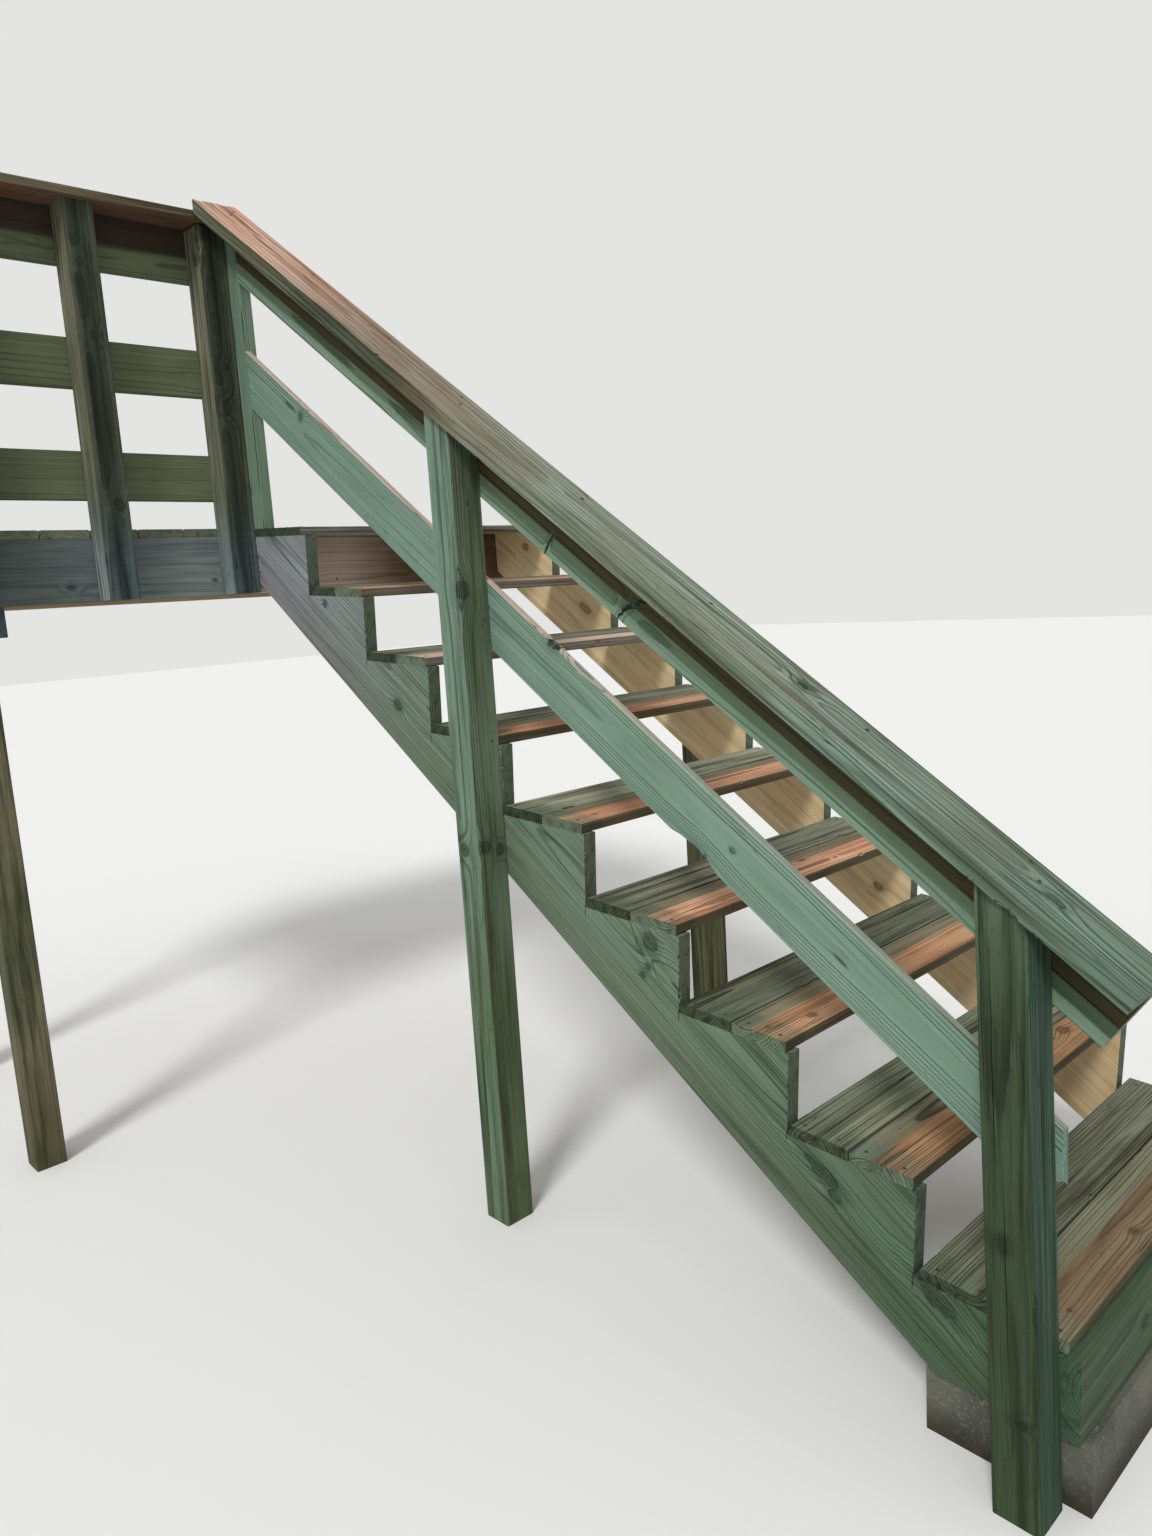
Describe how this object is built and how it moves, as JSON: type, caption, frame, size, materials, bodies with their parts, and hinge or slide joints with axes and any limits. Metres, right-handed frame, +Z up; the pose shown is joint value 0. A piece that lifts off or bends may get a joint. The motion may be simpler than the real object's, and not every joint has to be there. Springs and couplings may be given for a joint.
{
  "type": "timber deck stair",
  "caption": "Straight open-riser timber stair with notched stringers, paired tread boards, post-and-rail handrail on one side and the guarded deck bay at its head.",
  "frame": {"origin": "centre of the whole outline on the ground", "axes": "+X along the flight from the deck towards its foot, +Y towards the wall, +Z up"},
  "size_m": [4.037, 2.405, 2.8798],
  "materials": {
    "stringer_wood": "bare planed, weathered",
    "inner_stringer_wood": "bare planed, weathered",
    "header_wood": "bare planed, weathered",
    "tread_rear_wood": "bare planed, weathered",
    "tread_front_wood": "bare planed, weathered",
    "kick_wood": "bare planed, weathered",
    "post_wood": "bare planed, weathered",
    "bottom_post_wood": "bare planed, weathered",
    "rail_wood": "bare planed, weathered",
    "cap_wood": "bare planed, weathered",
    "rim_wood": "bare planed, weathered",
    "joist_wood": "bare planed, weathered",
    "decking_wood": "bare planed, weathered",
    "guard_post_wood": "bare planed, weathered",
    "guard_rail_wood": "bare planed, weathered",
    "guard_cap_wood": "bare planed, weathered",
    "beam_wood": "bare planed, weathered",
    "footing_concrete": "broom-finished concrete"
  },
  "bodies": {
    "root": {"beam": "beam_wood", "beam_posts": "beam_wood", "bottom_post": "bottom_post_wood", "decking": "decking_wood", "end_cap": "guard_cap_wood", "end_joist": "rim_wood", "end_rails": "guard_rail_wood", "footing": "footing_concrete", "guard_post_a": "guard_post_wood", "guard_post_b": "guard_post_wood", "guard_post_c": "guard_post_wood", "inner_post": "post_wood", "inner_stringer": "inner_stringer_wood", "joists": "joist_wood", "kick_board": "kick_wood", "ledger": "joist_wood", "mid_post": "post_wood", "mid_rail": "rail_wood", "outer_rim": "rim_wood", "outer_stringer": "stringer_wood", "rail_cleat": "rail_wood", "side_cap": "guard_cap_wood", "side_posts": "guard_post_wood", "side_rails": "guard_rail_wood", "stair_cap": "cap_wood", "stair_header": "header_wood", "top_tread": "tread_rear_wood", "tread_1_front": "tread_front_wood", "tread_1_rear": "tread_rear_wood", "tread_2_front": "tread_front_wood", "tread_2_rear": "tread_rear_wood", "tread_3_front": "tread_front_wood", "tread_3_rear": "tread_rear_wood", "tread_4_front": "tread_front_wood", "tread_4_rear": "tread_rear_wood", "tread_5_front": "tread_front_wood", "tread_5_rear": "tread_rear_wood", "tread_6_front": "tread_front_wood", "tread_6_rear": "tread_rear_wood", "tread_7_front": "tread_front_wood", "tread_7_rear": "tread_rear_wood", "tread_8_front": "tread_front_wood", "tread_8_rear": "tread_rear_wood", "upper_rail": "rail_wood"}
  },
  "joints": []
}
